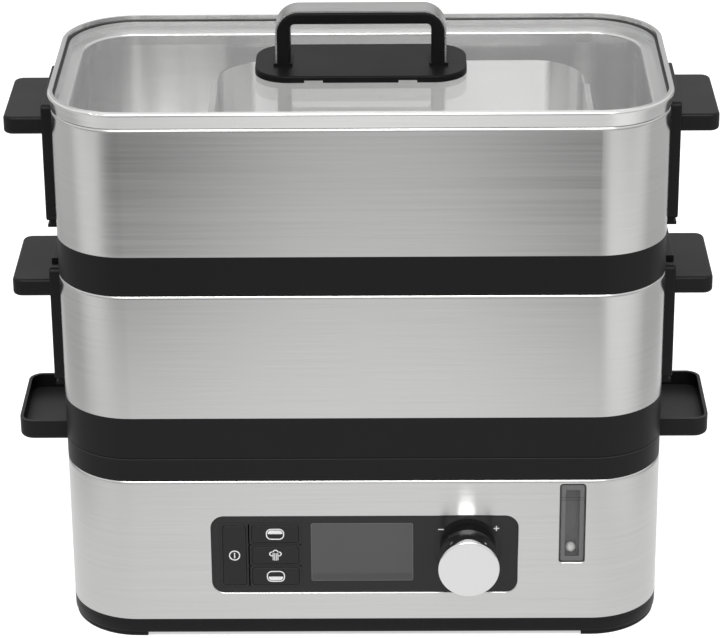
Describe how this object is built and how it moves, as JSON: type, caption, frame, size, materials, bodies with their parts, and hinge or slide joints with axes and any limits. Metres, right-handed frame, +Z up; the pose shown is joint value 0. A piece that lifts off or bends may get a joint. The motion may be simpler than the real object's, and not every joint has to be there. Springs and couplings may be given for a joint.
{
  "type": "food steamer",
  "caption": "Electric food steamer: steel base with tank, panel, knob and side filling spouts, stacked steel containers with black side handles, and a framed glass lid.",
  "frame": {"origin": "on the floor under the middle of the steamer's box, knob and spouts included", "axes": "+X to the user's right, along the two filling spouts; +Y to the back; +Z up"},
  "size_m": [0.429, 0.205, 0.3811],
  "materials": {
    "rubber": "matte moulded rubber",
    "black_plastic": "fine-grained black plastic",
    "brushed_steel": "horizontal brushing",
    "satin_steel": "satin",
    "tank_plastic": "smooth moulded plastic",
    "cast_aluminium": "cast, non-stick coated",
    "element_steel": "heat-tinted tube",
    "seal_silicone": "soft silicone",
    "thermostat_case": "phenolic case",
    "panel_plastic": "dark satin film",
    "key_plastic": "dark satin film",
    "display_lens": "clear grey lens",
    "display_glass": "unlit display",
    "circuit_board": "solder mask",
    "dark_parts": "moulded plastic",
    "plated_steel": "zinc plated",
    "chrome": "polished",
    "smoked_lens": "smoked clear plastic",
    "gauge_plastic": "moulded plastic",
    "float_plastic": "white plastic",
    "lid_glass": "clear glass"
  },
  "bodies": {
    "base": {"feet": "rubber", "base_pan": "black_plastic", "base_collar": "black_plastic", "cord_gland": "black_plastic", "gland_nut": "black_plastic", "base_housing": "brushed_steel", "water_tank": "tank_plastic", "heater_plate": "cast_aluminium", "heating_element": "element_steel", "heater_seal": "seal_silicone", "thermostat": "thermostat_case", "control_panel": "panel_plastic", "display_window": "display_lens", "display_module": "display_glass", "control_board": "circuit_board", "power_board": "circuit_board", "key_switches": "dark_parts", "power_relay": "dark_parts", "terminal_block": "dark_parts", "base_screws": "plated_steel", "board_screws": "plated_steel", "knob_encoder": "plated_steel", "gauge_window": "smoked_lens", "gauge_channel": "gauge_plastic"},
    "drip_tray": {"drip_tray": "black_plastic"},
    "lower_container": {"lower_wall": "brushed_steel", "lower_floor": "satin_steel", "lower_ring": "black_plastic", "lower_left_handle": "black_plastic", "lower_right_handle": "black_plastic", "lower_handle_screws": "plated_steel"},
    "upper_container": {"upper_wall": "brushed_steel", "upper_floor": "satin_steel", "upper_ring": "black_plastic", "upper_left_handle": "black_plastic", "upper_right_handle": "black_plastic", "upper_handle_screws": "plated_steel"},
    "rice_tray": {"rice_tray": "satin_steel"},
    "lid": {"lid_rim": "brushed_steel", "lid_gasket": "seal_silicone", "lid_glass": "lid_glass", "lid_plate": "black_plastic", "lid_handle": "black_plastic", "lid_handle_trim": "brushed_steel", "lid_washers": "seal_silicone", "lid_screws": "plated_steel"},
    "knob": {"knob_cap": "chrome", "knob_hub": "dark_parts", "knob_shaft": "plated_steel"},
    "power_key": {"power_key": "key_plastic"},
    "upper_tier_key": {"upper_tier_key": "key_plastic"},
    "steam_key": {"steam_key": "key_plastic"},
    "lower_tier_key": {"lower_tier_key": "key_plastic"},
    "gauge_float": {"gauge_float": "float_plastic"}
  },
  "joints": [
    {"name": "drip_tray_lift", "type": "slide", "parent": "base", "child": "drip_tray", "axis": [0, 0, 1], "range_m": [0, 0.06]},
    {"name": "lower_container_lift", "type": "slide", "parent": "drip_tray", "child": "lower_container", "axis": [0, 0, 1], "range_m": [0, 0.12]},
    {"name": "upper_container_lift", "type": "slide", "parent": "lower_container", "child": "upper_container", "axis": [0, 0, 1], "range_m": [0, 0.12]},
    {"name": "rice_tray_lift", "type": "slide", "parent": "upper_container", "child": "rice_tray", "axis": [0, 0, 1], "range_m": [0, 0.1]},
    {"name": "lid_lift", "type": "slide", "parent": "rice_tray", "child": "lid", "axis": [0, 0, 1], "range_m": [0, 0.12]},
    {"name": "knob_turn", "type": "hinge", "parent": "base", "child": "knob", "pos_m": [0.064, -0.0765, 0.0608], "axis": [0, -1, 0], "continuous": true},
    {"name": "power_key_press", "type": "slide", "parent": "base", "child": "power_key", "axis": [0, 1, 0], "range_m": [0, 0.0008], "stiffness_N_per_m": 400},
    {"name": "upper_tier_key_press", "type": "slide", "parent": "base", "child": "upper_tier_key", "axis": [0, 1, 0], "range_m": [0, 0.0008], "stiffness_N_per_m": 400},
    {"name": "steam_key_press", "type": "slide", "parent": "base", "child": "steam_key", "axis": [0, 1, 0], "range_m": [0, 0.0008], "stiffness_N_per_m": 400},
    {"name": "lower_tier_key_press", "type": "slide", "parent": "base", "child": "lower_tier_key", "axis": [0, 1, 0], "range_m": [0, 0.0008], "stiffness_N_per_m": 400},
    {"name": "gauge_float_rise", "type": "slide", "parent": "base", "child": "gauge_float", "axis": [0, 0, 1], "range_m": [0, 0.038]}
  ]
}
